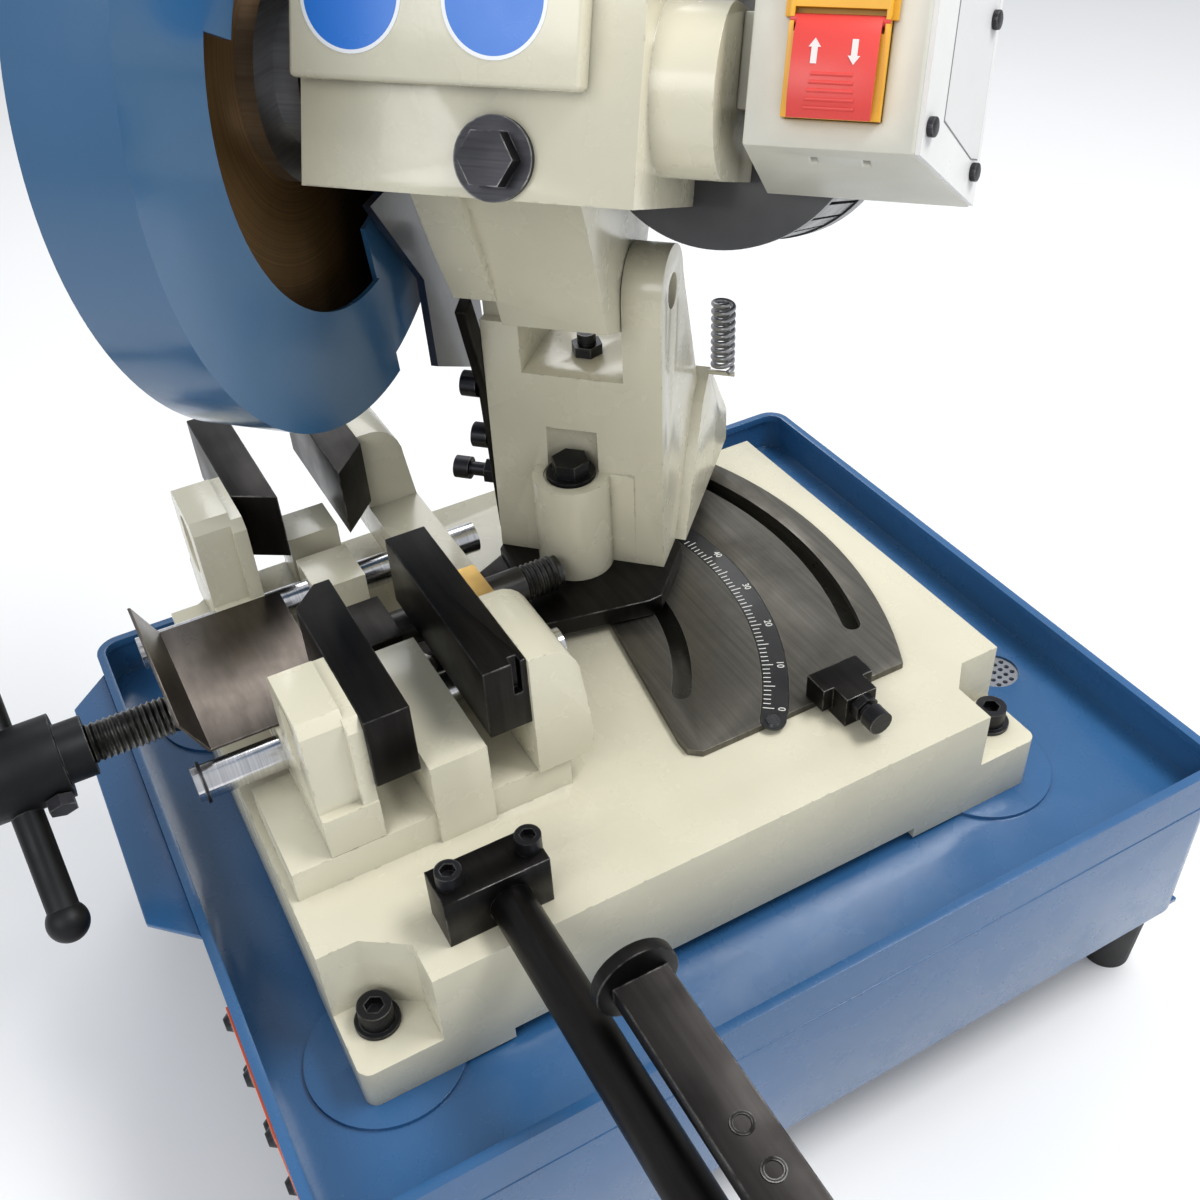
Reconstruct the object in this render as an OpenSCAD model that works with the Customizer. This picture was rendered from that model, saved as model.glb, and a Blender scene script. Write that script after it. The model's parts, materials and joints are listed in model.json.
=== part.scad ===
// Bench-top circular cold saw with a mitring head, a self-centring vise and a coolant tray.
// +Z up, +Y away from the operator, +X to the operator's right.
// The origin is on the floor plane under the swivel axis of the head.

/* [Tray] */
// Width of the tray, left to right
tray_w = 416; // [400:1:430]
// Depth of the tray, front to back
tray_d = 500; // [490:1:520]
// Height of the tray skirt
tray_h = 117; // [110:1:117]
// Height of the rubber feet
foot_h = 55; // [50:1:60]
// Depth of the tray floor below its rim
tray_deep = 27; // [24:1:32]

/* [Base] */
// Length of the cast base, front to back
base_d = 380; // [370:1:390]
// Width of the cast base
base_w = 314; // [306:1:320]
// Height of the cast base
base_h = 67.5; // [67:0.5:69]
// Outer radius of the machined mitre sector
sector_r = 255; // [250:1:258]

/* [Head] */
// Mitre angle the head rests at
mitre = 45; // [0:1:45]
// Angle the head is raised by
lift = 22; // [10:1:22]
// Blade diameter
blade_d = 275; // [250:5:280]
// Blade thickness
blade_t = 2; // [1.6:0.2:2.4]
// Number of blade teeth
blade_teeth = 72; // [40:4:96]
// Outer radius of the lower guard
guard_r = 152; // [150:1:154]
// Width of the lower guard
guard_w = 42; // [40:1:44]

/* [Vise] */
// Gap between the jaws
jaw_gap = 34; // [30:1:36]
// Length of each jaw plate
jaw_l = 101; // [90:1:105]
// Height of each jaw plate
jaw_h = 38.5; // [36:0.5:38.5]
// Diameter of the vise screw
screw_d = 20; // [18:1:20]
// Diameter of the two guide rods
rod_d = 17; // [14:1:18]

/* [Length stop] */
// Diameter of the stop rod
stop_rod_d = 20; // [16:1:22]
// Length of the stop rod
stop_rod_l = 330; // [300:5:400]
// Diameter of the stop disc
stop_disc_d = 36; // [30:1:40]

/* [Hidden] */
$fn = 48;
eps = 0.01;

// Tray and base levels
tray_x0 = -182;
tray_y0 = -144;
tray_x1 = tray_x0 + tray_w;
tray_y1 = tray_y0 + tray_d;
rim_z = foot_h + tray_h;
floor_z = rim_z - tray_deep;
sheet = 3;
base_x1 = 174;
base_x0 = base_x1 - base_w;
base_y0 = -104;
base_y1 = base_y0 + base_d;
boss_h = 2.5;
base_z = floor_z + boss_h;
top_z = base_z + base_h;
sector_z = top_z + 4;
plate_z = sector_z + 12;
tongue_z = sector_z + 7;
front_pad_z = 172;
rear_pad_z = 180;
base_bolt_xy = [[150, -87], [152, 262], [base_x0 + 24, -87], [base_x0 + 22, 262]];

// Vise levels
vise_x = -11;
jaw_x = -5;
rod_gap = 53;
screw_z = 245;
rod_z = 245;
rail_z = 233;
bed_z = 264;
jaw_z = 265.5;
block_z = 256.2;
jaw_top = jaw_z + jaw_h;
jaw_t = 21;
jaw_y = jaw_gap / 2;
vise_y = -17;
holder_top = jaw_top + 3;
screw_y0 = -209;
screw_y1 = 92;

// Head levels
pivot_y = 133;
pivot_z = 386;
ear_x0 = 12;
ear_x1 = 108;
fork_x0 = 32.5;
fork_x1 = 87.5;
arbor_y = -115;
arbor_z = 87;
blade_x = -40;
blade_r = blade_d / 2;
gear_x0 = -12;
gear_x1 = 126;
gear_y0 = -157;
gear_y1 = -52;
gear_z0 = 42;
gear_z1 = 160;
motor_x = 137;
motor_z = arbor_z;
motor_r = 62;
motor_l = 138;
fan_l = 34;
box_z0 = 68;
box_z1 = 178;
box_y = -142;
bore_play = 0.05;

// A block between two corners
module block(a, b) { translate(a) cube(b - a); }
// Round bars along X and Y between two places
module bar_x(r, x0, x1) { translate([x0, 0, 0]) rotate([0, 90, 0]) cylinder(r = r, h = x1 - x0); }
module bar_y(r, y0, y1) { translate([0, y0, 0]) rotate([-90, 0, 0]) cylinder(r = r, h = y1 - y0); }
// A rectangle with round corners
module round_rect(a, b, r) {
    translate([a[0] + r, a[1]]) square([b[0] - a[0] - 2 * r, b[1] - a[1]]);
    translate([a[0], a[1] + r]) square([b[0] - a[0], b[1] - a[1] - 2 * r]);
    for (x = [a[0] + r, b[0] - r], y = [a[1] + r, b[1] - r]) translate([x, y]) circle(r);
}
module slab(a, b, r, z0, z1) { translate([0, 0, z0]) linear_extrude(z1 - z0) round_rect(a, b, r); }
// A profile drawn in Y and Z, extruded along X
module side_profile(x0, x1) {
    translate([x0, 0, 0]) rotate([90, 0, 90]) linear_extrude(x1 - x0) children();
}
// Socket head cap screw along +Z, with its head above z = 0
module cap_screw(d, l, head = 1) {
    difference() {
        union() {
            translate([0, 0, -l]) cylinder(d = d, h = l);
            cylinder(d = 1.5 * d * head, h = d);
        }
        translate([0, 0, d / 2]) cylinder(d = 0.9 * d, h = d, $fn = 6);
    }
}
// Hex head bolt along +Z with a washer under its head
module hex_bolt(d, l, washer_d) {
    translate([0, 0, -l]) cylinder(d = d, h = l + 1);
    cylinder(d = washer_d, h = 2.5);
    translate([0, 0, 2.5 - eps]) cylinder(d = 1.75 * d, h = 0.65 * d, $fn = 6);
}
// Placement in the mitring head and in the raised head
module swivelled() { rotate([0, 0, mitre]) children(); }
module raised() { swivelled() translate([0, pivot_y, pivot_z]) rotate([-lift, 0, 0]) children(); }
module at_arbor() { raised() translate([0, arbor_y, arbor_z]) rotate([0, 90, 0]) children(); }

// ---------- Tray ----------
tray_cr = 14;
lip = 5;
drain_xy = [97, 322];
module coolant_tray() {
    color("steelblue") difference() {
        union() {
            difference() {
                slab([tray_x0, tray_y0], [tray_x1, tray_y1], tray_cr, foot_h, rim_z);
                slab([tray_x0 + sheet, tray_y0 + sheet], [tray_x1 - sheet, tray_y1 - sheet],
                    tray_cr - sheet, foot_h - 1, rim_z - lip);
                slab([tray_x0 + lip, tray_y0 + lip], [tray_x1 - lip, tray_y1 - lip],
                    tray_cr - lip, rim_z - lip - 1, rim_z + 1);
            }
            slab([tray_x0 + 1, tray_y0 + 1], [tray_x1 - 1, tray_y1 - 1], tray_cr - 1, floor_z - sheet, floor_z);
            for (p = base_bolt_xy) translate([p[0], p[1], floor_z - 1]) cylinder(r = 38, h = boss_h + 1);
            for (x = [tray_x0 + 22, tray_x1 - 22], y = [tray_y0 + 22, tray_y1 - 22])
                translate([x, y, foot_h]) tray_gusset();
        }
        translate([drain_xy[0], drain_xy[1], floor_z - sheet - 1]) cylinder(r = 14, h = sheet + 2);
        for (p = base_bolt_xy) translate([p[0], p[1], floor_z - sheet - 1]) cylinder(d = 10, h = sheet + boss_h + 2);
    }
}
// Corner plate inside the skirt that carries a foot
module tray_gusset() {
    translate([-20, -20, 0]) cube([40, 40, sheet]);
}
module drain_mesh() {
    pitch = 6;
    color("dimgray") translate([drain_xy[0], drain_xy[1], floor_z - sheet]) difference() {
        cylinder(r = 13.9, h = 1.5);
        for (i = [-2:2], j = [-2:2]) if (norm([i, j]) < 2.3)
            translate([i * pitch * 0.8, j * pitch * 0.8, -1]) cylinder(d = 3, h = 4);
    }
}
shelf_z = rim_z - 8;
shelf_out = 22;
module front_drip_shelf() {
    color("steelblue") translate([0, 0, shelf_z - sheet]) linear_extrude(sheet)
        polygon([[-161, tray_y0], [-139, tray_y0 - shelf_out], [36, tray_y0 - shelf_out], [58, tray_y0]]);
}
plate_box = [[90, 92], [166, 148]];
module blank_plate() {
    color("orangered") block([plate_box[0][0], tray_y0 - 1.5, plate_box[0][1]],
        [plate_box[1][0], tray_y0, plate_box[1][1]]);
}
module plate_screws() {
    color("dimgray") for (x = [plate_box[0][0] + 5, 128, plate_box[1][0] - 5], z = [plate_box[0][1] + 6, plate_box[1][1] - 6])
        translate([x, tray_y0 - 1.5, z]) rotate([90, 0, 0]) cylinder(r1 = 5, r2 = 3, h = 3);
}
module rubber_feet() {
    color("black") for (x = [tray_x0 + 22, tray_x1 - 22], y = [tray_y0 + 22, tray_y1 - 22])
        translate([x, y, 0]) cylinder(r1 = 14, r2 = 17, h = foot_h);
}

// ---------- Base ----------
module base_outline() { round_rect([base_x0, base_y0], [base_x1, base_y1], 6); }
module corner_pocket(z) {
    translate([0, 0, z]) linear_extrude(base_h) children();
}
module base_casting() {
    wall = 14;
    arch_z = base_z + 7;
    color("wheat") difference() {
        union() {
            translate([0, 0, base_z]) linear_extrude(base_h) base_outline();
            // Rails that the jaw carriers slide along
            for (s = [-1, 1]) translate([jaw_x, 0, 0])
                block([min(s * 50, s * 110), base_y0 + 4, top_z - 1], [max(s * 50, s * 110), s > 0 ? 38 : -3, rail_z]);
            // Work bed across the middle, low where the blade passes
            block([20, vise_y - 14, top_z - 1], [107, vise_y + 14, bed_z]);
            block([-115, vise_y - 14, top_z - 1], [-90, vise_y + 14, bed_z]);
            block([-91, vise_y - 14, top_z - 1], [21, vise_y + 14, rail_z]);
            block([-82, vise_y - 14, top_z - 1], [-50, vise_y + 14, block_z]);
        }
        // Hollow underside
        block([base_x0 + wall, base_y0 + wall + 30, base_z - 1], [base_x1 - wall, base_y1 - wall - 30, top_z - 12]);
        block([base_x0 + wall + 30, base_y0 + wall, base_z - 1], [base_x1 - wall - 30, base_y1 - wall, top_z - 12]);
        // Arches between the four feet
        block([base_x0 - 1, base_y0 + 72, base_z - 1], [base_x1 + 1, base_y1 - 78, arch_z]);
        block([base_x0 + 70, base_y0 - 1, base_z - 1], [base_x1 - 70, base_y1 + 1, arch_z]);
        // Corner pockets round the four bolts
        corner_pocket(front_pad_z) polygon([[138, base_y0 - 1], [138, -85], [152, -65], [base_x1 + 1, -65], [base_x1 + 1, base_y0 - 1]]);
        corner_pocket(rear_pad_z) polygon([[136, base_y1 + 1], [136, 252], [150, 238], [base_x1 + 1, 238], [base_x1 + 1, base_y1 + 1]]);
        corner_pocket(front_pad_z) polygon([[base_x0 + 36, base_y0 - 1], [base_x0 + 36, -85], [base_x0 + 22, -65],
            [base_x0 - 1, -65], [base_x0 - 1, base_y0 - 1]]);
        corner_pocket(rear_pad_z) polygon([[base_x0 + 38, base_y1 + 1], [base_x0 + 38, 252], [base_x0 + 24, 238],
            [base_x0 - 1, 238], [base_x0 - 1, base_y1 + 1]]);
        for (p = base_bolt_xy) translate([p[0], p[1], base_z - 1]) cylinder(d = 10 + 2 * bore_play, h = base_h);
        // Bores of the guide rods, the screw and the swivel pin
        for (s = [-1, 1]) translate([vise_x + s * rod_gap, 0, rod_z]) bar_y(rod_d / 2, vise_y - 20, vise_y + 20);
        translate([0, 0, top_z - 13]) cylinder(r = 12, h = 14);
        // Recess that the swivel tongue turns in, and the tracks of the two lock bolts
        translate([0, 0, top_z - 0.5]) cylinder(r = 29, h = tongue_z - top_z + 2);
        translate([0, 0, top_z - 10]) arc_slot(slot_r_out, 22, -30, 22);
        translate([0, 0, top_z - 10]) arc_slot(slot_r_in, 22, -10, 37);
    }
}
module base_bolts() {
    color("black") for (p = base_bolt_xy) {
        pad = p[1] < 0 ? front_pad_z : rear_pad_z;
        translate([p[0], p[1], pad]) {
            cylinder(d = 21, h = 2);
            translate([0, 0, 2 - eps]) cap_screw(10, pad - floor_z + 16, 1.07);
        }
        translate([p[0], p[1], floor_z - sheet - 8]) cylinder(d = 19, h = 8, $fn = 6);
    }
}
// A round slot on a radius, from one angle to another measured from +Y toward +X
module arc_slot(r, w, a0, a1, h = 20) {
    rotate([0, 0, 90 - a1]) rotate_extrude(angle = a1 - a0) translate([r - w / 2, 0]) square([w, h]);
    for (a = [a0, a1]) rotate([0, 0, 90 - a]) translate([r, 0, 0]) cylinder(d = w - 0.4, h = h);
}
slot_r_in = 140;
slot_r_out = 235;
scale_r = 188;
scale_w = 13;
module sector_outline() {
    intersection() {
        circle(sector_r, $fn = 180);
        polygon([[-128, 112], [6, 111], [109, 95], [118, 95], [123, 101], [123, 224], [120, 228], [120, 270], [-128, 270]]);
    }
}
module mitre_sector() {
    color("gray") difference() {
        translate([0, 0, top_z]) linear_extrude(sector_z - top_z) sector_outline();
        translate([0, 0, top_z - 1]) arc_slot(slot_r_out, 10, -30, 21);
        translate([0, 0, top_z - 1]) arc_slot(slot_r_in, 10, -10, 36);
        translate([0, 0, sector_z - 0.8]) arc_slot(scale_r, scale_w + 0.6, -26, 41);
    }
}
// Scale strip with a raised tick every degree
module mitre_scale() {
    zero = 38.4;
    color("black") translate([0, 0, sector_z - 0.8]) difference() {
        arc_slot(scale_r, scale_w, -26, 41, 0.8);
        for (i = [0:5:45]) rotate([0, 0, 90 - zero + i]) translate([scale_r - scale_w / 2 + 1, -0.3, 0.4])
            cube([i % 10 == 0 ? 6 : 4, 0.6, 1]);
    }
}
module scale_rivets() {
    color("silver") for (a = [-26, 41]) rotate([0, 0, 90 - a]) translate([scale_r, 0, sector_z]) {
        cylinder(r = 3.6, h = 1);
    }
}
stop_y = 181;
stop_z = sector_z + 7;
module angle_stop_block() {
    color("black") difference() {
        union() {
            block([117, stop_y - 15, sector_z], [131, stop_y + 15, sector_z + 14]);
            block([124, stop_y - 9, top_z], [142, stop_y + 9, sector_z + 14]);
        }
        translate([0, stop_y, stop_z]) bar_x(4, 116, 143);
    }
}
module angle_stop_screws() {
    color("black") translate([0, stop_y, stop_z]) {
        bar_x(4, 115.5, 152);
        translate([142, 0, 0]) rotate([0, 90, 0]) cylinder(d = 14, h = 5, $fn = 6);
        bar_x(6.5, 150, 158);
    }
}
module swivel_pin() {
    color("silver") translate([0, 0, top_z - 13]) cylinder(r = 12, h = tongue_z - top_z + 13);
}

// ---------- Length stop fixed parts ----------
stop_block = [[141, -51, top_z], [162, -1, top_z + 28]];
stop_rod_y = -21;
stop_rod_z = top_z + 11;
stop_screw_xy = [[151.5, -43.5], [151.5, -6]];
module stop_clamp_block() {
    color("black") difference() {
        block(stop_block[0], stop_block[1]);
        translate([0, stop_rod_y, stop_rod_z]) bar_x(stop_rod_d / 2, stop_block[0][0] - 1, stop_block[1][0] + 1);
        for (p = stop_screw_xy) translate([p[0], p[1], top_z - 1]) cylinder(d = 8, h = 40);
    }
}
module stop_block_screws() {
    color("black") for (p = stop_screw_xy) translate([p[0], p[1], top_z + 28]) cap_screw(8, 27.5);
}
module stop_rod() {
    color("dimgray") translate([0, stop_rod_y, stop_rod_z]) bar_x(stop_rod_d / 2, 139, 128 + stop_rod_l);
}

// ---------- Vise ----------
module guide_rods() {
    color("silver") for (s = [-1, 1]) translate([vise_x + s * rod_gap, 0, rod_z]) difference() {
        bar_y(rod_d / 2, -123, 66);
        difference() {
            bar_y(rod_d / 2 + 1, -120, -118.2);
            bar_y(rod_d / 2 - 1, -121, -117);
        }
    }
}
module rod_snap_rings() {
    color("black") for (s = [-1, 1]) translate([vise_x + s * rod_gap, 0, rod_z]) difference() {
        bar_y(rod_d / 2 + 1.6, -119.9, -118.3);
        bar_y(rod_d / 2 - 0.9, -121, -117);
    }
}
module screw_thrust_collar() {
    color("black") translate([vise_x, 0, 0]) difference() {
        block([-18, vise_y - 13, rail_z], [18, vise_y + 13, screw_z + 12]);
        translate([0, 0, screw_z]) bar_y(screw_d / 2 + bore_play, vise_y - 14, vise_y + 14);
    }
}
// Bores through a jaw carrier for both rods and the screw nut
module carrier_bores(y0, y1) {
    for (s = [-1, 1]) translate([vise_x + s * rod_gap, 0, rod_z]) bar_y(rod_d / 2 + bore_play, y0 - 1, y1 + 1);
    block([vise_x - nut_w, y0 - 1, rail_z - 1], [vise_x + nut_w, y1 + 1, block_z + 1]);
}
// Flat nut that fills the middle of a jaw carrier
module screw_nut(y0, y1) {
    color("goldenrod") difference() {
        block([vise_x - nut_w, y0, rail_z + 0.3], [vise_x + nut_w, y1, block_z]);
        translate([vise_x, 0, screw_z]) bar_y(screw_d / 2 + bore_play, y0 - 1, y1 + 1);
    }
}
nut_w = 16;
front_y0 = -81;
front_y1 = vise_y - jaw_y - jaw_t;
module front_jaw_carrier() {
    color("wheat") difference() {
        union() {
            block([jaw_x - 110, front_y0, rail_z + 0.3], [jaw_x + 110, front_y1, block_z]);
            for (s = [-1, 1]) translate([jaw_x, 0, 0]) {
                // Upright with chamfered top corners, and the plate behind the jaw
                translate([0, front_y0 + 20, 0]) rotate([90, 0, 0]) linear_extrude(20)
                    polygon([[s * 60, block_z - 1], [s * 60, holder_top - 5], [s * 65, holder_top],
                        [s * 100, holder_top], [s * 105, holder_top - 5], [s * 105, block_z - 1]]);
                translate([0, front_y1, 0]) rotate([90, 0, 0]) linear_extrude(7)
                    polygon([[s * 57, block_z - 1], [s * 57, holder_top - 8], [s * 62, holder_top - 3],
                        [s * 104, holder_top - 3], [s * 109, holder_top - 8], [s * 109, block_z - 1]]);
            }
        }
        carrier_bores(front_y0, front_y1);
        // Oval recess in each upright
        for (s = [-1, 1]) translate([jaw_x + s * 82, front_y0 - 1, 0]) {
            translate([0, 0, 292]) bar_y(9, 0, 5);
            translate([0, 0, 276]) bar_y(9, 0, 5);
            block([-9, 0, 276], [9, 5, 292]);
        }
    }
}
// Jaw plates of one carrier, bevelled where the mitred blade passes
module jaw_pair(near, far) {
    translate([0, 0, jaw_z]) linear_extrude(jaw_h) {
        polygon(near);
        polygon(far);
    }
}
module front_jaw_plates() {
    a = front_y1;
    b = front_y1 + jaw_t;
    color("black") jaw_pair([[18, a], [5, b - 8], [5, b], [5 + jaw_l, b], [5 + jaw_l, a]],
        [[-88, a], [-74, b], [-74 - jaw_l, b], [-74 - jaw_l, a]]);
}
module front_screw_nut() {
    screw_nut(front_y0, front_y1);
}
cover_t = 1.5;
module chip_cover() {
    z = 256.5;
    w = 48;
    y0 = -112;
    rise = [-10, 22];
    color("dimgray") translate([vise_x, 0, 0]) side_profile(-w, w)
        polygon([[y0, z], [front_y1 + 7, z], [front_y1 + 7, z + cover_t], [y0 + 1, z + cover_t],
            [y0 + rise[0] + cover_t, z + rise[1]], [y0 + rise[0], z + rise[1]]]);
}
rear_y0 = vise_y + jaw_y + jaw_t;
rear_y1 = rear_y0 + 29;
module rear_jaw_carrier() {
    holders = [[55, 107], [-150, -106]];
    color("wheat") difference() {
        union() {
            block([-150, rear_y0, rail_z + 0.3], [107, rear_y1, block_z]);
            // Curved holder behind each jaw plate
            for (h = holders) side_profile(h[0], h[1])
                polygon([[rear_y0, block_z - 1], [rear_y0, holder_top - 3], [rear_y0 + 8, holder_top - 3],
                    for (a = [90:-15:0]) [rear_y0 + 8 + 17 * cos(a), holder_top - 23 + 20 * sin(a)],
                    [rear_y1, block_z - 1]]);
        }
        carrier_bores(rear_y0, rear_y1);
    }
}
module rear_jaw_plates() {
    a = vise_y + jaw_y;
    b = a + jaw_t;
    color("black") difference() {
        jaw_pair([[-10, a], [-10, b], [105, b], [105, a]],
            [[-76, a], [-99, b], [-74 - jaw_l, b], [-74 - jaw_l, a]]);
        // Slot across the end face of the near plate
        block([100, b - 7, jaw_z + 20], [106, b - 3, jaw_top + 1]);
    }
}
module rear_screw_nut() {
    screw_nut(rear_y0, rear_y1);
}
// Grooves stand for the thread where it shows
module vise_screw() {
    pitch = 3;
    groove = 1.2;
    color("dimgray") translate([vise_x, 0, screw_z]) rotate([-90, 0, 0]) rotate_extrude()
        polygon([[0, screw_y0], [screw_d / 2, screw_y0], [screw_d / 2, -163],
            for (y = [-162:pitch:front_y0 - 40], k = [0, 1]) [screw_d / 2 - k * groove, y + k * pitch / 2],
            [screw_d / 2, front_y0 - 36], [screw_d / 2, 68],
            for (y = [70:pitch:screw_y1 - 4], k = [0, 1]) [screw_d / 2 - k * groove, y + k * pitch / 2],
            [screw_d / 2 - 1, screw_y1], [0, screw_y1]]);
}
handle_turn = -45;
arm_l = 74;
hub_y = -190;
module vise_handle() {
    arm_y = hub_y - 6;
    color("black") translate([vise_x, 0, screw_z]) difference() {
        union() {
            bar_y(21, hub_y - 21, hub_y + 17);
            bar_y(15, hub_y + 17, -160);
            rotate([0, handle_turn, 0]) for (s = [-1, 1]) translate([0, arm_y, 0]) {
                translate([0, 0, s > 0 ? 12 : -arm_l]) cylinder(r = 7.5, h = arm_l - 12);
                translate([0, 0, s * arm_l]) sphere(r = 10);
            }
        }
        bar_y(screw_d / 2, screw_y0, -150);
        set_bolt_place() cylinder(d = 8, h = 30);
    }
}
module set_bolt_place() { translate([0, hub_y + 10, 0]) rotate([0, 115, 0]) children(); }
module handle_set_bolt() {
    color("black") translate([vise_x, 0, screw_z]) set_bolt_place() {
        translate([0, 0, screw_d / 2 + 0.2]) cylinder(d = 8, h = 12);
        translate([0, 0, 21]) cylinder(d = 14, h = 6, $fn = 6);
    }
}

// ---------- Swivel and column ----------
// Where the two lock bolts stand in the mitring head
lock_a = 20;
lock_xy = [[slot_r_out * sin(lock_a), slot_r_out * cos(lock_a)], [slot_r_in * sin(35), slot_r_in * cos(35)]];
rivet_gap = 1.4;
module swivel_plate() {
    color("black") swivelled() difference() {
        union() {
            translate([0, 0, sector_z + rivet_gap]) linear_extrude(plate_z - sector_z - rivet_gap)
                polygon([[113, 128], [113, 82], [108, 76], [57, 43], [12, 102], [12, 228], [104, 228], [104, 140]]);
            translate([0, 0, sector_z + 0.3]) linear_extrude(tongue_z - sector_z - 0.3) {
                polygon([[57, 43], [40, 41], [24, 0], [-24, 0], [12, 102]]);
                circle(24);
            }
        }
        translate([0, 0, sector_z - 1]) cylinder(r = 12 + bore_play, h = 20);
        for (p = lock_xy) translate([p[0], p[1], sector_z - 1]) cylinder(r = 5, h = 20);
    }
}
module column() {
    front = -23;
    sill = -42;
    color("wheat") swivelled() difference() {
        union() {
            translate([0, pivot_y, pivot_z]) {
                // Body with its two ears, seen from the side
                side_profile(ear_x0, ear_x1) {
                    circle(23);
                    polygon([[front, 0], [23, 0], [60, -94], [74, -110], [96, plate_z - pivot_z + 20],
                        [96, plate_z - pivot_z], [front - 4, plate_z - pivot_z]]);
                }
                // Boss for the lock bolt
                translate([58, front - 7, plate_z - pivot_z]) cylinder(r = 21, h = 58);
                block([44, front - 4, plate_z - pivot_z], [92, front + 1, plate_z - pivot_z + 58]);
            }
            // Lug under the return spring
            translate([0, pivot_y + spring_y, pivot_z - spring_drop - 3]) bar_x(1.4, ear_x1 + 5, spring_x + 7);
            // Gusset on the right
            translate([ear_x1 - 8, pivot_y, plate_z]) side_profile(0, 14)
                polygon([[0, 0], [110, 0], [110, 22], [62, 78], [44, 66]]);
        }
        translate([0, pivot_y, pivot_z]) {
            // Fork between the ears
            block([fork_x0, -60, sill], [fork_x1, 90, 60]);
            translate([0, 0, 0]) bar_x(9, ear_x0 - 1, ear_x1 + 1);
            // The left ear stops short at the front
            block([ear_x0 - 1, -60, -14], [fork_x0 + 1, -17, 40]);
            // Hollow back
            block([ear_x0 + 14, 0, plate_z - pivot_z + 12], [ear_x1 - 14, 120, sill - 14]);
        }
        // Bore and spot face of the lock bolt
        translate([58, pivot_y + front - 7, plate_z - 1]) cylinder(r = 6, h = 60);
        translate([58, pivot_y + front - 7, plate_z + 57]) cylinder(r = 15, h = 25);
        translate([60, pivot_y + 4, pivot_z + sill - 15]) cylinder(r = 5, h = 20);
        // Bore and pocket of the lock bolts
        for (p = lock_xy) translate([p[0], p[1], plate_z - 1]) cylinder(r = 5, h = 14);
        translate([lock_xy[0][0], lock_xy[0][1], plate_z + 8]) cylinder(r = 13, h = 60);
    }
}
module swivel_bolts() {
    color("black") swivelled() {
        translate([58, pivot_y - 30, plate_z + 57]) hex_bolt(12, 56.9, 27);
        for (p = lock_xy) translate([p[0], p[1], top_z - 9]) {
            cylinder(r = 9, h = 7);
            cylinder(r = 4.7, h = plate_z + 12.8 - top_z + 9);
        }
        translate([lock_xy[0][0], lock_xy[0][1], plate_z + 8]) cylinder(d = 18, h = 8, $fn = 6);
    }
}
link_x = 6;
module link_plate() {
    color("black") swivelled() side_profile(link_x, ear_x0 - 0.2)
        polygon([[pivot_y - 40, pivot_z - 2], [pivot_y - 30, pivot_z + 2], [pivot_y - 8, pivot_z - 60],
            [pivot_y + 6, plate_z + 2], [pivot_y - 14, plate_z + 2], [pivot_y - 22, pivot_z - 60]]);
}
module link_screws() {
    color("black") swivelled() {
        for (p = [[pivot_y - 19, 331], [pivot_y - 13, 295]]) translate([link_x, p[0], p[1]])
            rotate([0, -90, 0]) cylinder(d = 14, h = 9);
        translate([link_x, pivot_y - 8, 268]) rotate([0, -90, 0]) {
            cylinder(d = 8, h = 24);
            translate([0, 0, 0.2]) cylinder(d = 15, h = 6, $fn = 6);
            translate([0, 0, 16]) cylinder(d = 13, h = 9);
        }
    }
}
module rest_stop_bolt() {
    color("black") swivelled() translate([60, pivot_y + 4, pivot_z - 42]) {
        translate([0, 0, -14]) cylinder(r = 5, h = 15);
        cylinder(d = 17, h = 6, $fn = 6);
        cylinder(d = 10, h = 12);
    }
}
module head_pivot_pin() {
    color("silver") swivelled() translate([0, pivot_y, pivot_z]) bar_x(9, ear_x0, ear_x1 - 8);
}
spring_x = 121.5;
spring_y = 60;
spring_drop = 76;
module return_spring() {
    r = 5.5;
    turns = 8;
    rise = 6;
    wire = 1.5;
    color("dimgray") swivelled() translate([spring_x, pivot_y + spring_y, pivot_z - spring_drop])
        for (i = [0:turns - 1]) translate([0, 0, i * rise]) rotate_extrude($fn = 32) translate([r, 0]) circle(wire, $fn = 16);
}

// ---------- Head ----------
module gearbox_housing() {
    color("wheat") raised() difference() {
        union() {
            // Main case
            side_profile(gear_x0, gear_x1) polygon([[gear_y0, gear_z0], [gear_y1, gear_z0], [gear_y1, gear_z1],
                [gear_y0 + 18, gear_z1], [gear_y0, gear_z1 - 18]]);
            // Round boss over the bevel gears
            translate([0, arbor_y, arbor_z]) bar_x(33, 120, 151);
            block([110, arbor_y, arbor_z - 33], [151, gear_y1, arbor_z + 33]);
            neck();
            // Spindle nose toward the blade
            translate([0, arbor_y, arbor_z]) bar_x(34, -15.5, gear_x0 + 1);
            // Pad of the pull handle
            block([70, -120, gear_z1 - 1], [112, -80, gear_z1 + 10]);
        }
        // Pivot bore
        bar_x(9 + bore_play, fork_x0 - 5, fork_x1 + 1);
        // Spindle bore, bearing seats and gear space
        translate([0, arbor_y, arbor_z]) {
            bar_x(20, -16, 4);
            bar_x(13, -16, 110);
            bar_x(20, 86, 104);
            bar_x(27, 104, 133);
        }
        // Hollow of the case
        block([14, gear_y0 + 8, gear_z0 + 8], [76, gear_y1 - 8, gear_z1 - 8]);
        translate([motor_x, 0, motor_z]) bar_y(13, -102, gear_y1 + 1);
        // Oil plug hole
        translate([70, 0, 57]) bar_y(8, gear_y0 - 1, gear_y0 + 12);
    }
}
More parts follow.
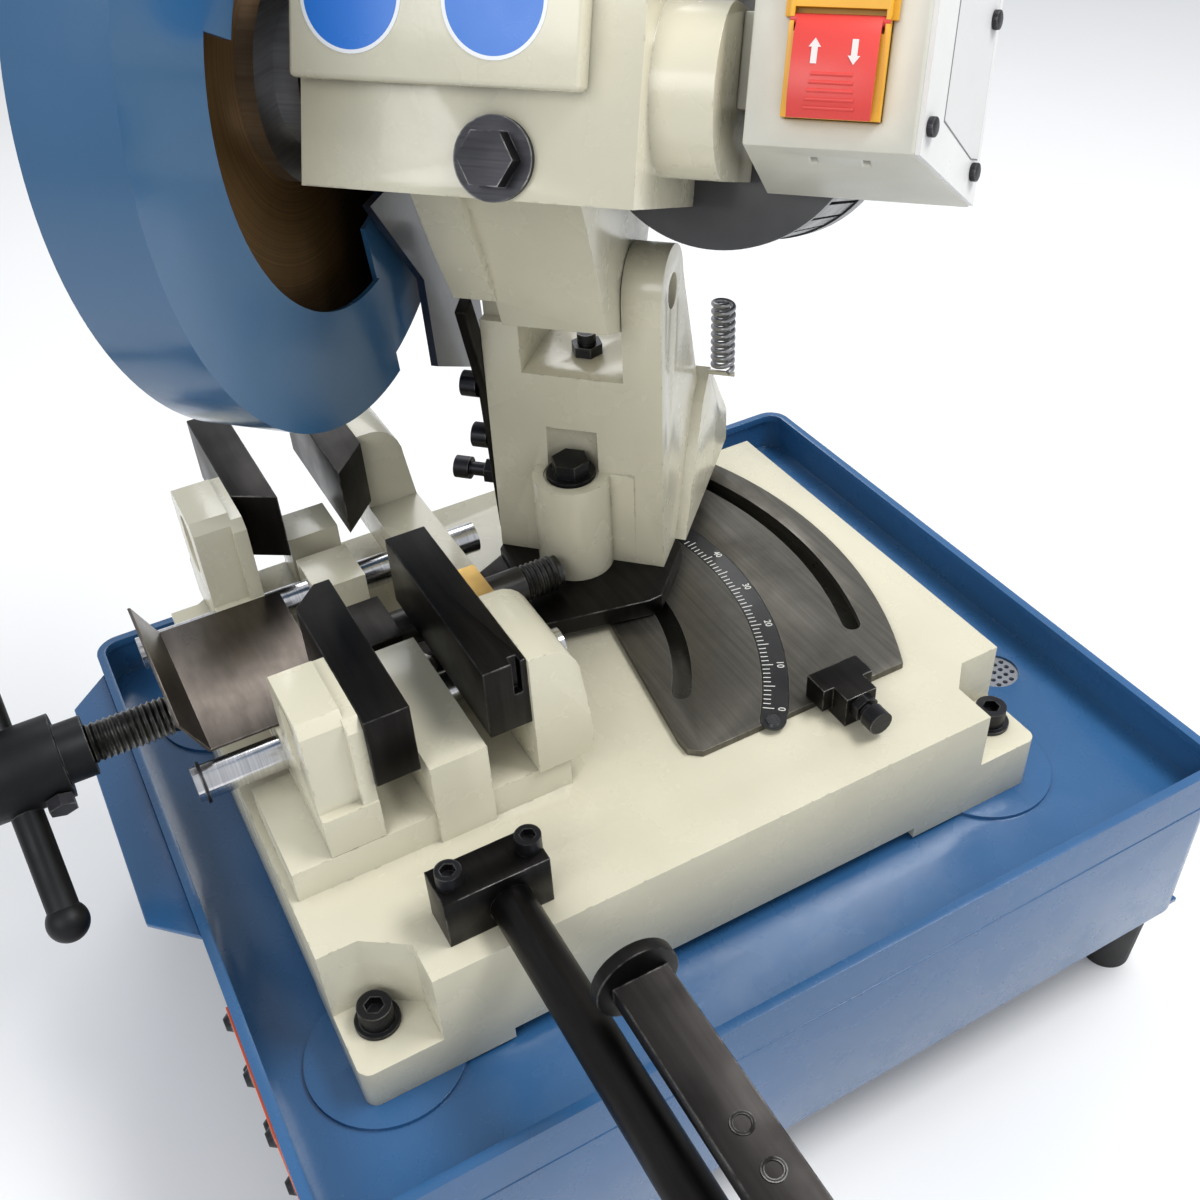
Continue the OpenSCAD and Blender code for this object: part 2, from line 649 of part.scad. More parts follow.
module neck() {
    x0 = fork_x0 + 0.5;
    x1 = fork_x1 - 0.5;
    side_profile(x0, x1) {
        circle(22);
        polygon([[-100, gear_z0 + 2], [-66, 10], [-40, -20], [-4, -21.5], [21, 6], [30, gear_z0 + 2]]);
    }
    // Rear web that ties the case to the barrel
    block([x0, gear_y1 - 2, 14], [x1, 22, gear_z0 + 2]);
    // Flared left cheek in front of the left ear
    side_profile(12, x0 + 1) polygon([[-108, gear_z0 + 1], [-76, 12], [-52, -8], [-44, -6], [-44, gear_z0 + 1]]);
}
cover_z0 = 82;
module gearbox_cover() {
    color("wheat") raised() difference() {
        block([gear_x0 + 1, gear_y0 - 12, cover_z0], [106, gear_y0, gear_z1 - 20]);
        for (x = [0, 94], z = [cover_z0 + 70]) translate([x, 0, z]) bar_y(3, gear_y0 - 13, gear_y0 - 6);
    }
}
module oil_plug() {
    color("black") raised() translate([70, gear_y0, 57]) rotate([90, 0, 0]) {
        translate([0, 0, -11]) cylinder(r = 7.9, h = 12);
        cylinder(r = 16, h = 3);
        translate([0, 0, 3 - eps]) cylinder(d = 23, h = 9, $fn = 6);
    }
}
module spindle_bearings() {
    color("silver") raised() translate([0, arbor_y, arbor_z]) difference() {
        union() {
            bar_x(20, -14, 4);
            bar_x(20, 86, 104);
        }
        bar_x(12 + bore_play, -20, 120);
    }
}
module spindle() {
    color("silver") raised() translate([0, arbor_y, arbor_z]) {
        bar_x(12, blade_x - 6, 131);
        bar_x(10, blade_x - 18, blade_x - 5);
    }
}
// Bevel pair with a ratio of two, drawn as plain cones that just clear each other
module bevel_gear() {
    color("goldenrod") at_arbor() rotate_extrude()
        polygon([[12, 108], [24, 108], [24, 125], [16, 129], [12, 129]]);
}

module blade_flanges() {
    color("dimgray") at_arbor() difference() {
        union() {
            translate([0, 0, blade_x + blade_t / 2]) cylinder(r = 45, h = 8);
            translate([0, 0, blade_x + blade_t / 2 + 7]) cylinder(r = 30, h = 12);
            translate([0, 0, blade_x - blade_t / 2 - 8]) cylinder(r = 45, h = 8);
            translate([0, 0, blade_x - blade_t / 2 - 16]) cylinder(d = 32, h = 9, $fn = 6);
        }
        translate([0, 0, blade_x - 6]) cylinder(r = 12, h = 40);
        translate([0, 0, blade_x - 30]) cylinder(r = 10, h = 26);
    }
}
module blade() {
    depth = 5;
    step = 360 / blade_teeth;
    color("peru") at_arbor() translate([0, 0, blade_x - blade_t / 2]) linear_extrude(blade_t) difference() {
        polygon([for (i = [0:blade_teeth - 1], k = [0, 1])
            (blade_r - k * depth) * [cos((i + k * 0.25) * step), sin((i + k * 0.25) * step)]]);
        circle(12);
    }
}
// Half-open drum: rim and two side rings, from one angle to another round the arbor
module drum(r, w, t, r_near, r_far, a0, a1) {
    x = w / 2;
    rotate([0, 0, a0]) rotate_extrude(angle = a1 - a0, $fn = 120)
        polygon([[r_far, -x], [r, -x], [r, x], [r_near, x], [r_near, x - t], [r - t, x - t], [r - t, t - x], [r_far, t - x]]);
}
// Full ring on the far side that carries a guard
module hub_ring(r_in, r_out, x0, x1) {
    translate([0, 0, x0]) difference() {
        cylinder(r = r_out, h = x1 - x0);
        translate([0, 0, -1]) cylinder(r = r_in, h = x1 - x0 + 2);
    }
}
guard_t = 2.5;
hub_r = 39;
// Angles round the arbor run from straight down toward the operator
module lower_guard() {
    far = -guard_w / 2;
    color("steelblue") at_arbor() translate([0, 0, blade_x]) {
        difference() {
            drum(guard_r, guard_w, guard_t, 99, 60, -122, 28);
            // Sloping end toward the column
            rotate([0, 0, 50]) translate([125, -30, -guard_w]) cube([60, 60, 2 * guard_w]);
        }
        hub_ring(hub_r + bore_play, 66, far + 0.4, far + guard_t + 0.5);
    }
}
module upper_guard() {
    w = guard_w - 7;
    plate = 4;
    color("steelblue") raised() {
        translate([0, arbor_y, arbor_z]) rotate([0, 90, 0]) translate([0, 0, blade_x]) {
            drum(guard_r - 6, w, guard_t, 75, 46, 30, 266);
            difference() {
                translate([0, 0, -w / 2 - 5]) union() {
                    cylinder(r = hub_r, h = 7);
                    translate([0, 0, 5.3]) cylinder(r = 52, h = guard_t);
                }
                translate([0, 0, -w]) cylinder(r = 34, h = w);
            }
        }
        // Bracket from the guard to the case, with its hanging plate
        block([blade_x + w / 2 - guard_t, -70, 44], [gear_x0, -40, 74]);
        side_profile(gear_x0 - 1 - plate, gear_x0 - 1)
            polygon([[-92, 33], [-30, -3], [-9, -49], [69, -59], [20, 40], [-38, 78], [-76, 78], [-76, 40]]);
    }
}
module motor_body() {
    fins = 36;
    rib = 2;
    core = motor_r - 8;
    step = 360 / fins;
    half = asin(rib / 2 / motor_r);
    color("black") raised() translate([motor_x, gear_y1, motor_z]) rotate([-90, 0, 0]) difference() {
        union() {
            linear_extrude(motor_l) polygon([for (i = [0:fins - 1], k = [-1, 1], q = [0, 1])
                (k * (0.5 - q) < 0 ? motor_r : core) * [cos(i * step + k * half), sin(i * step + k * half)]]);
            cylinder(r = motor_r + 1, h = 8);
        }
        translate([0, 0, -1]) cylinder(r = 30, h = motor_l - 7);
        translate([0, 0, motor_l - 9]) cylinder(r = 10, h = 10);
    }
}
module motor_fan_cover() {
    slots = 12;
    wall = 2.5;
    color("black") raised() translate([motor_x, gear_y1 + motor_l, motor_z]) rotate([-90, 0, 0]) difference() {
        cylinder(r = motor_r + 1, h = fan_l);
        translate([0, 0, -1]) cylinder(r = motor_r + 1 - wall, h = fan_l - wall + 1);
        for (i = [0:slots - 1]) rotate([0, 0, i * 360 / slots]) translate([18, -2.5, fan_l - 5]) cube([28, 5, 10]);
    }
}
module motor_shaft() {
    blades = 8;
    pinion_play = 0.4;
    color("silver") raised() translate([motor_x, arbor_y, motor_z]) rotate([-90, 0, 0]) {
        rear = gear_y1 + motor_l - arbor_y;
        translate([0, 0, 16]) cylinder(r1 = 8 - pinion_play, r2 = 12 - pinion_play, h = 8);
        translate([0, 0, 24 - eps]) cylinder(r = 9, h = rear + 10 - 24);
        translate([0, 0, gear_y1 - arbor_y + 14]) cylinder(r = 28, h = 100);
        translate([0, 0, rear + 4]) cylinder(r = 16, h = 14);
        for (i = [0:blades - 1]) rotate([0, 0, i * 360 / blades]) translate([14, -1, rear + 6]) cube([36, 2, 12]);
    }
}

// ---------- Switch and handle ----------
module switch_outline(inset) {
    polygon([[162 + inset, box_y + inset], [225 - inset, box_y + inset], [246 - inset, box_y + 70], [162 + inset, box_y + 70]]);
}
module switch_box() {
    color("ivory") raised() difference() {
        intersection() {
            translate([0, 0, box_z0 - 20]) linear_extrude(box_z1 - box_z0 + 20) switch_outline(0);
            side_profile(150, 260) polygon([[box_y, box_z0], [box_y, box_z1], [box_y + 70, box_z1], [box_y + 70, box_z0 - 18]]);
        }
        translate([0, 0, box_z0 + 4]) linear_extrude(box_z1 - box_z0 - 8) intersection() {
            switch_outline(3);
            translate([150, box_y]) square([110, 67]);
        }
        block([176, box_y - 1, 78], [212, box_y + 4, 146]);
        // Two slots in the underside
        for (x = [186, 206]) block([x, box_y + 12, box_z0 - 20], [x + 2.5, box_y + 20, box_z0 + 8]);
    }
    color("ivory") raised() block([151, box_y + 40, box_z0 + 14], [163, box_y + 68, box_z0 + 50]);
}
module switch_side_cover() {
    slope = atan2(21, 70);
    color("whitesmoke") raised() translate([225.3, box_y + 1, 0]) rotate([0, 0, -slope]) difference() {
        side_profile(0, 2) polygon([[0, box_z0], [0, box_z1 - 1], [70, box_z1 - 1], [70, box_z0 - 17]]);
        for (p = [[6, 78], [62, 64], [62, 120], [6, 150]]) translate([0, p[0], p[1]]) bar_x(2, -1, 3);
    }
    color("black") raised() translate([225.3, box_y + 1, 0]) rotate([0, 0, -slope])
        for (p = [[6, 78], [62, 64], [62, 120], [6, 150]]) translate([0, p[0], p[1]]) bar_x(3.4, 2, 4.5);
}
flap_z = 110;
module switch_body() {
    color("gold") raised() difference() {
        union() {
            block([176.2, box_y - 7, 78.2], [211.8, box_y + 20, 145.8]);
            block([174, box_y - 3, 112], [214, box_y, 150]);
        }
        block([180, box_y - 8, 80], [208, box_y - 1, 108]);
        for (z = [87, 101]) translate([194, 0, z]) bar_y(5.2, box_y - 2, box_y + 12);
        translate([0, box_y - 5, flap_z + 1]) bar_x(2.1, 170, 220);
        block([178, box_y - 9, flap_z - 3], [210, box_y - 2, flap_z + 5]);
    }
}
module switch_flap() {
    color("tomato") raised() {
        translate([0, box_y - 5, flap_z + 1]) bar_x(2, 176.5, 211.5);
        side_profile(179, 209) polygon([[box_y - 7, flap_z + 2], [box_y - 12, flap_z - 4], [box_y - 14, 86], [box_y - 12, 78],
            [box_y - 9.6, 78], [box_y - 10.4, 84], [box_y - 8.4, flap_z - 4], [box_y - 5, flap_z - 1]]);
    }
}
module start_button() {
    color("green") raised() translate([194, 0, 101]) bar_y(5, box_y - 5, box_y + 8);
}
module stop_button() {
    color("red") raised() translate([194, 0, 87]) bar_y(5, box_y - 5, box_y + 8);
}
module pull_handle() {
    color("black") raised() translate([91, -100, gear_z1 + 10]) {
        cylinder(r = 13, h = 8);
        translate([0, 0, 4]) rotate([38, 0, 0]) {
            cylinder(r = 8, h = 150);
            translate([0, 0, 60]) cylinder(r = 15, h = 96);
            translate([0, 0, 156]) sphere(r = 15);
        }
    }
}

// ---------- Length stop carrier ----------
carrier_x = 236;
module stop_carrier() {
    bar_y0 = -14;
    bar_y1 = 10;
    bar_z = 250;
    collar = [carrier_x + 96, carrier_x + 128];
    color("dimgray") difference() {
        union() {
            // Clamp collar on the rod, and its bracket up to the bar
            block([collar[0], stop_rod_y - 16, stop_rod_z - 16], [collar[1], stop_rod_y + 16, stop_rod_z + 16]);
            block([collar[0], stop_rod_y + 2, stop_rod_z], [collar[1], bar_y1, bar_z + 1]);
            // Flat bar above the rod
            block([carrier_x + 5, bar_y0, bar_z], [carrier_x + 150, bar_y1, bar_z + 9]);
            // Stop disc at the end of the work
            translate([0, bar_y0 + 11, bar_z + 5]) bar_x(stop_disc_d / 2, carrier_x, carrier_x + 6);
        }
        translate([0, stop_rod_y, stop_rod_z]) bar_x(stop_rod_d / 2 + bore_play, collar[0] - 1, collar[1] + 1);
    }
}

coolant_tray();
front_drip_shelf();
blank_plate();
plate_screws();
rubber_feet();
drain_mesh();
base_casting();
base_bolts();
mitre_sector();
mitre_scale();
scale_rivets();
angle_stop_block();
angle_stop_screws();
guide_rods();
rod_snap_rings();
screw_thrust_collar();
swivel_pin();
stop_clamp_block();
stop_block_screws();
stop_rod();
front_jaw_carrier();
front_jaw_plates();
front_screw_nut();
chip_cover();
rear_jaw_carrier();
rear_jaw_plates();
rear_screw_nut();
vise_screw();
vise_handle();
handle_set_bolt();
swivel_plate();
column();
swivel_bolts();
link_plate();
link_screws();
rest_stop_bolt();
head_pivot_pin();
return_spring();
gearbox_housing();
gearbox_cover();
oil_plug();
spindle_bearings();
spindle();
blade_flanges();
blade();
bevel_gear();
motor_body();
motor_fan_cover();
motor_shaft();
upper_guard();
lower_guard();
switch_box();
switch_side_cover();
switch_body();
switch_flap();
start_button();
stop_button();
pull_handle();
stop_carrier();
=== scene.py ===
import json
from math import atan2, cos, pi, radians, sin

import bmesh
import bpy
from mathutils import Matrix, Vector


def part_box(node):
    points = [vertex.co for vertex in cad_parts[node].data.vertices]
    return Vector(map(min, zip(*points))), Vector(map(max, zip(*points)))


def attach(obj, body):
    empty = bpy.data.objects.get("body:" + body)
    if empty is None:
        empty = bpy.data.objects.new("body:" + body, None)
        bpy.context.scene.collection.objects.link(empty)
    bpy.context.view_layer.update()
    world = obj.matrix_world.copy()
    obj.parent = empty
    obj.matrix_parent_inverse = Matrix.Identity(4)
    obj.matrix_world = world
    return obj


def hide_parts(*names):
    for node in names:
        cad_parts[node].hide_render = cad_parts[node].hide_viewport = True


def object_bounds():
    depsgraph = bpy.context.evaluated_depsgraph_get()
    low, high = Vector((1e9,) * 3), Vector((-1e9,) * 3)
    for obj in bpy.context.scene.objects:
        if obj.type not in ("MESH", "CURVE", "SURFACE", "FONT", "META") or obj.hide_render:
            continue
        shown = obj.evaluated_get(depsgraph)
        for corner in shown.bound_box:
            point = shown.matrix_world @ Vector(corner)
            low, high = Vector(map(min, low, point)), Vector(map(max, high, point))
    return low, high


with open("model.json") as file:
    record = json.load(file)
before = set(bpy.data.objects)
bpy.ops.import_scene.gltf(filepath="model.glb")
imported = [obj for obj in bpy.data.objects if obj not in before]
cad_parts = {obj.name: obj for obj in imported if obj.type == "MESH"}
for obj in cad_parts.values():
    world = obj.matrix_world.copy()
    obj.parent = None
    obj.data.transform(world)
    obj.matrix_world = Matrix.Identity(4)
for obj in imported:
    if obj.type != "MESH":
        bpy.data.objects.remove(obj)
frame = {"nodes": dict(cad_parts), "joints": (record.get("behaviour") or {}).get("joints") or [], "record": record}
cad_low, cad_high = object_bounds()
nodes = frame["nodes"]
MM = 0.001

# ---------- Camera, light and floor ----------


def make_camera():
    """The camera stands at the operator's right, looking down on the vise."""
    data = bpy.data.cameras.new("camera")
    data.lens = 39.2
    data.sensor_width = 36.0
    camera = bpy.data.objects.new("camera", data)
    right = Vector((0.4792, 0.8765, -0.0457)).normalized()
    back = Vector((0.6895, -0.3438, 0.6374)).normalized()
    up = back.cross(right)
    turn = Matrix((right, up, back)).transposed().to_4x4()
    camera.matrix_world = Matrix.Translation((0.4985, -0.1376, 0.6845)) @ turn
    bpy.context.scene.collection.objects.link(camera)
    bpy.context.scene.camera = camera


def make_light(name, place, target, size, power, colour=(1, 1, 1)):
    data = bpy.data.lights.new(name, "AREA")
    data.shape = "RECTANGLE"
    data.size = size[0]
    data.size_y = size[1]
    data.energy = power
    data.color = colour
    light = bpy.data.objects.new(name, data)
    light.location = place
    light.rotation_euler = (Vector(target) - Vector(place)).to_track_quat("-Z", "Y").to_euler()
    bpy.context.scene.collection.objects.link(light)


def make_studio():
    world = bpy.data.worlds.new("studio")
    world.use_nodes = True
    background = world.node_tree.nodes["Background"]
    background.inputs["Color"].default_value = (0.93, 0.96, 1.0, 1)
    background.inputs["Strength"].default_value = 0.62
    bpy.context.scene.world = world
    bpy.context.scene.view_settings.view_transform = "Standard"
    centre = (cad_low + cad_high) / 2
    make_light("key", (0.5, 0.9, 1.9), centre, (1.0, 0.5), 26)
    make_light("fill", (0.9, -1.3, 1.5), centre, (1.2, 0.8), 13)
    make_light("rear", (-1.4, 0.6, 1.6), centre, (1.0, 0.8), 10)
    mesh = bpy.data.meshes.new("floor")
    reach = 6.0
    corners = [(-reach, -reach, 0), (reach, -reach, 0), (reach, reach, 0), (-reach, reach, 0)]
    mesh.from_pydata(corners, [], [(0, 1, 2, 3)])
    floor = bpy.data.objects.new("floor", mesh)
    bpy.context.scene.collection.objects.link(floor)
    graph = Graph("pale_floor")
    cloud = graph.noise(3.0, 3)
    graph.colour(graph.mix(cloud, (0.86, 0.86, 0.86), (0.9, 0.9, 0.9)))
    graph.set(Roughness=0.7)
    mesh.materials.append(graph.material)


# ---------- Material graph helper ----------


class Graph:
    """A node material on object coordinates, with short calls for the usual steps."""

    def __init__(self, name):
        self.material = bpy.data.materials.new(name)
        self.material.use_nodes = True
        self.tree = self.material.node_tree
        self.shader = self.tree.nodes["Principled BSDF"]
        self.place = self.node("ShaderNodeTexCoord").outputs["Object"]

    def node(self, kind, **settings):
        made = self.tree.nodes.new(kind)
        for key, value in settings.items():
            setattr(made, key, value)
        return made

    def plug(self, socket, value):
        if isinstance(value, bpy.types.NodeSocket):
            self.tree.links.new(value, socket)
        elif isinstance(value, tuple) and len(value) == 3 and socket.type == "RGBA":
            socket.default_value = (*value, 1)
        else:
            socket.default_value = value

    def set(self, **sockets):
        for name, value in sockets.items():
            self.plug(self.shader.inputs[name.replace("_", " ")], value)

    def colour(self, value):
        self.plug(self.shader.inputs["Base Color"], value)

    def scaled(self, scale):
        node = self.node("ShaderNodeMapping")
        self.plug(node.inputs["Vector"], self.place)
        node.inputs["Scale"].default_value = scale
        return node.outputs["Vector"]

    def noise(self, scale, detail=4, rough=0.55, stretch=None):
        node = self.node("ShaderNodeTexNoise")
        self.plug(node.inputs["Vector"], self.scaled(stretch) if stretch else self.place)
        node.inputs["Scale"].default_value = scale
        node.inputs["Detail"].default_value = detail
        node.inputs["Roughness"].default_value = rough
        return node.outputs["Fac"]

    def ramp(self, value, low, high, low_out=0.0, high_out=1.0):
        node = self.node("ShaderNodeMapRange")
        self.plug(node.inputs["Value"], value)
        ends = {"From Min": low, "From Max": high, "To Min": low_out, "To Max": high_out}
        for name, number in ends.items():
            node.inputs[name].default_value = number
        return node.outputs["Result"]

    def maths(self, operation, a, b):
        node = self.node("ShaderNodeMath", operation=operation)
        self.plug(node.inputs[0], a)
        self.plug(node.inputs[1], b)
        return node.outputs[0]

    def mix(self, factor, a, b):
        node = self.node("ShaderNodeMix", data_type="RGBA")
        self.plug(node.inputs["Factor"], factor)
        self.plug(node.inputs[6], a)
        self.plug(node.inputs[7], b)
        return node.outputs[2]

    def edge(self, radius, low=0.02, high=0.2):
        """Near one on sharp edges and near zero on flats."""
        bevel = self.node("ShaderNodeBevel", samples=4)
        bevel.inputs["Radius"].default_value = radius
        flat = self.node("ShaderNodeNewGeometry").outputs["Normal"]
        dot = self.node("ShaderNodeVectorMath", operation="DOT_PRODUCT")
        self.plug(dot.inputs[0], bevel.outputs["Normal"])
        self.plug(dot.inputs[1], flat)
        bend = self.maths("SUBTRACT", 1.0, dot.outputs["Value"])
        return self.ramp(bend, low, high)

    def corner(self, distance):
        """Near one deep in corners and creases: an ambient-occlusion mask, used as painted shade."""
        node = self.node("ShaderNodeAmbientOcclusion", samples=6)
        node.inputs["Distance"].default_value = distance
        return self.ramp(node.outputs["AO"], 0.75, 0.2)

    def bump(self, height, strength, distance, under=None):
        node = self.node("ShaderNodeBump")
        node.inputs["Strength"].default_value = strength
        node.inputs["Distance"].default_value = distance
        self.plug(node.inputs["Height"], height)
        if under is not None:
            self.plug(node.inputs["Normal"], under)
        return node.outputs["Normal"]


def tinted(colour, factor):
    return tuple(min(1.0, part * factor) for part in colour)


def paint(name, colour, rough=0.28, cast=0.0, wear=0.35, bare=(0.20, 0.19, 0.18), grime_and_shade=0.5):
    """Enamel with orange peel, light scratches, patchy soiling mixed with painted shade in corners, and chips
    along edges.
    """
    g = Graph(name)
    cloud = g.noise(9.0, 3)
    base = g.mix(g.ramp(cloud, 0.3, 0.7), tinted(colour, 0.93), tinted(colour, 1.05))
    # Painted shade: an ambient-occlusion mask darkens corners and creases, broken by noise into patchy soiling.
    dirt_and_shade = g.maths("MULTIPLY", g.corner(0.014), g.ramp(g.noise(60.0, 5), 0.3, 0.65, 0.25, grime_and_shade))
    base = g.mix(dirt_and_shade, base, tinted(colour, 0.32))
    scratch = g.ramp(g.noise(26.0, 6, 0.7, (9.0, 0.6, 3.0)), 0.67, 0.72, 0.0, 0.35)
    base = g.mix(scratch, base, tinted(colour, 1.3))
    chips = g.maths("MULTIPLY", g.edge(0.0016), g.ramp(g.noise(150.0, 4), 0.56, 0.62, 0.0, wear))
    g.colour(g.mix(chips, base, bare))
    g.plug(g.shader.inputs["Roughness"], g.ramp(g.noise(35.0, 4), 0.3, 0.7, rough * 0.8, rough * 1.35))
    normal = g.bump(g.noise(420.0, 2), 0.05, 0.0006)
    if cast:
        normal = g.bump(g.noise(75.0, 3), cast, 0.0012, normal)
    g.plug(g.shader.inputs["Normal"], normal)
    g.set(Coat_Weight=0.25, Coat_Roughness=0.12)
    return g.material


def recolour(material, colour, limits, strength=1.0):
    """Turns a finish to a second colour where a point passes every limit.

    A limit is (centre, weights, low, high): a reading along weights from centre, or, where weights
    is "round", the distance from the Z axis through centre.
    """
    tree = material.node_tree
    shader = tree.nodes["Principled BSDF"]
    socket = shader.inputs["Base Color"]
    first = socket.links[0].from_socket
    place = tree.nodes.new("ShaderNodeTexCoord").outputs["Object"]
    mask = strength
    for centre, weights, low, high in limits:
        offset = tree.nodes.new("ShaderNodeVectorMath")
        offset.operation = "SUBTRACT"
        tree.links.new(place, offset.inputs[0])
        offset.inputs[1].default_value = centre
        measure = tree.nodes.new("ShaderNodeVectorMath")
        measure.operation = "MULTIPLY" if weights == "round" else "DOT_PRODUCT"
        tree.links.new(offset.outputs[0], measure.inputs[0])
        measure.inputs[1].default_value = (1, 1, 0) if weights == "round" else weights
        if weights == "round":
            size = tree.nodes.new("ShaderNodeVectorMath")
            size.operation = "LENGTH"
            tree.links.new(measure.outputs[0], size.inputs[0])
            measure = size
        reading = measure.outputs[1]
        for operation, limit in (("GREATER_THAN", low), ("LESS_THAN", high)):
            test = tree.nodes.new("ShaderNodeMath")
            test.operation = operation
            tree.links.new(reading, test.inputs[0])
            test.inputs[1].default_value = limit
            both = tree.nodes.new("ShaderNodeMath")
            both.operation = "MULTIPLY"
            tree.links.new(test.outputs[0], both.inputs[0])
            if isinstance(mask, float):
                both.inputs[1].default_value = mask
            else:
                tree.links.new(mask, both.inputs[1])
            mask = both.outputs[0]
    mix = tree.nodes.new("ShaderNodeMix")
    mix.data_type = "RGBA"
    tree.links.new(mask, mix.inputs["Factor"])
    tree.links.new(first, mix.inputs[6])
    mix.inputs[7].default_value = (*colour, 1)
    tree.links.new(mix.outputs[2], socket)
    return material


WORN_STEEL = (0.55, 0.54, 0.52)


def metal(name, colour, rough, grain=(1.0, 1.0, 40.0), smudge=0.3, worn=0.0):
    """Machined or drawn metal with a grain, smudges and brighter worn edges."""
    g = Graph(name)
    lines = g.noise(18.0, 5, 0.6, grain)
    cloud = g.noise(22.0, 5)
    base = g.mix(g.ramp(lines, 0.3, 0.7), tinted(colour, 0.8), tinted(colour, 1.2))
    base = g.mix(g.ramp(cloud, 0.4, 0.75, 0.0, smudge), base, tinted(colour, 0.4))
    if worn:
        rub = g.maths("MULTIPLY", g.edge(0.0012), g.ramp(g.noise(110.0, 4), 0.4, 0.62, 0.0, worn))
        base = g.mix(rub, base, WORN_STEEL)
    g.colour(base)
    g.plug(g.shader.inputs["Roughness"], g.ramp(cloud, 0.3, 0.75, rough * 0.8, min(1.0, rough * 1.5)))
    g.plug(g.shader.inputs["Normal"], g.bump(lines, 0.06, 0.0004))
    g.set(Metallic=1.0)
    return g.material


def plastic(name, colour, rough, texture=900.0, depth=0.05, soil=0.25):
    """Moulded plastic or rubber with a fine texture, a little soil, and painted shade in its corners."""
    g = Graph(name)
    cloud = g.noise(30.0, 4)
    base = g.mix(g.ramp(cloud, 0.35, 0.75, 0.0, soil), colour, tinted(colour, 0.7))
    # Painted shade: darker deep in corners and creases, from an ambient-occlusion mask.
    base = g.mix(g.maths("MULTIPLY", g.corner(0.008), 0.5), base, tinted(colour, 0.35))
    g.colour(base)
    g.plug(g.shader.inputs["Roughness"], g.ramp(cloud, 0.3, 0.7, rough * 0.85, min(1.0, rough * 1.2)))
    g.plug(g.shader.inputs["Normal"], g.bump(g.noise(texture, 2), depth, 0.0005))
    return g.material


def ground_disc(name, colour, centre, axis):
    """Blade steel with a bronze tint and rings ground round its axis."""
    g = Graph(name)
    offset = g.node("ShaderNodeVectorMath", operation="SUBTRACT")
    g.plug(offset.inputs[0], g.place)
    offset.inputs[1].default_value = centre
    along = g.node("ShaderNodeVectorMath", operation="CROSS_PRODUCT")
    g.plug(along.inputs[0], offset.outputs[0])
    along.inputs[1].default_value = axis
    radius = g.node("ShaderNodeVectorMath", operation="LENGTH")
    g.plug(radius.inputs[0], along.outputs[0])
    rings = g.node("ShaderNodeTexNoise", noise_dimensions="1D")
    g.plug(rings.inputs["W"], radius.outputs["Value"])
    rings.inputs["Scale"].default_value = 900.0
    cloud = g.noise(14.0, 4)
    base = g.mix(g.ramp(rings.outputs["Fac"], 0.3, 0.7), tinted(colour, 0.75), tinted(colour, 1.2))
    base = g.mix(g.ramp(cloud, 0.35, 0.7, 0.0, 0.6), base, tinted(colour, 0.45))
    g.colour(base)
    g.plug(g.shader.inputs["Roughness"], g.ramp(cloud, 0.3, 0.7, 0.3, 0.5))
    g.plug(g.shader.inputs["Normal"], g.bump(rings.outputs["Fac"], 0.08, 0.0003))
    g.set(Metallic=0.85)
    return g.material


# ---------- Geometry helpers ----------


def link(name, mesh, body, material):
    piece = bpy.data.objects.new(name, mesh)
    bpy.context.scene.collection.objects.link(piece)
    if not mesh.materials:
        mesh.materials.append(material)
    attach(piece, body)
    return piece


def smooth(mesh, angle=32):
    for face in mesh.polygons:
        face.use_smooth = True
    mesh.set_sharp_from_angle(angle=radians(angle))


def rounded(node, width, material):
    """A copy of a CAD node with its edges rounded, shown in its place."""
    source = nodes[node]
    mesh = source.data.copy()
    mesh.materials.clear()
    work = bmesh.new()
    work.from_mesh(mesh)
    bmesh.ops.remove_doubles(work, verts=work.verts, dist=2e-6)
    bmesh.ops.dissolve_limit(work, angle_limit=radians(0.6), verts=work.verts, edges=work.edges)
    work.to_mesh(mesh)
    work.free()
    maker = bpy.data.objects.new(node + "_maker", mesh)
    bpy.context.scene.collection.objects.link(maker)
    bevel = maker.modifiers.new("round", "BEVEL")
    bevel.width = width
    bevel.segments = 3
    bevel.limit_method = "ANGLE"
    bevel.angle_limit = radians(38)
    bevel.use_clamp_overlap = True
    view = bpy.context.evaluated_depsgraph_get()
    shaped = bpy.data.meshes.new_from_object(maker.evaluated_get(view))
    bpy.data.objects.remove(maker)
    smooth(shaped)
    piece = link(node + "_shell", shaped, body_of[node], material)
    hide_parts(node)
    return piece


def dress(node, material):
    """Gives a CAD node its material and smooth shading, keeping its shape."""
    mesh = nodes[node].data
    mesh.materials.clear()
    mesh.materials.append(material)
    smooth(mesh)


record = frame["record"]
body_of = {node: body for body, members in record["behaviour"]["bodies"].items() for node in members}
slot_of = {part["node"]: part["material_slot"] for part in record["subparts"]}
joint = {j["name"]: j for j in frame["joints"]}


def head_axes():
    """The head's own axes: X across along its pivot, Y back along the motor, Z up."""
    across = Vector(joint["head_pivot"]["axis"]).normalized()
    back = Vector(joint["motor_spin"]["axis"]).normalized()
    turn = Matrix((across, back, across.cross(back))).transposed().to_4x4()
    return Matrix.Translation(joint["head_pivot"]["pos_m"]) @ turn


HEAD = head_axes()


def head_box(node):
    """A head node's box along the head's own axes, in metres."""
    back = HEAD.inverted()
    corners = [back @ v.co for v in nodes[node].data.vertices]
    low = Vector([min(c[i] for c in corners) for i in range(3)])
    high = Vector([max(c[i] for c in corners) for i in range(3)])
    return low, high


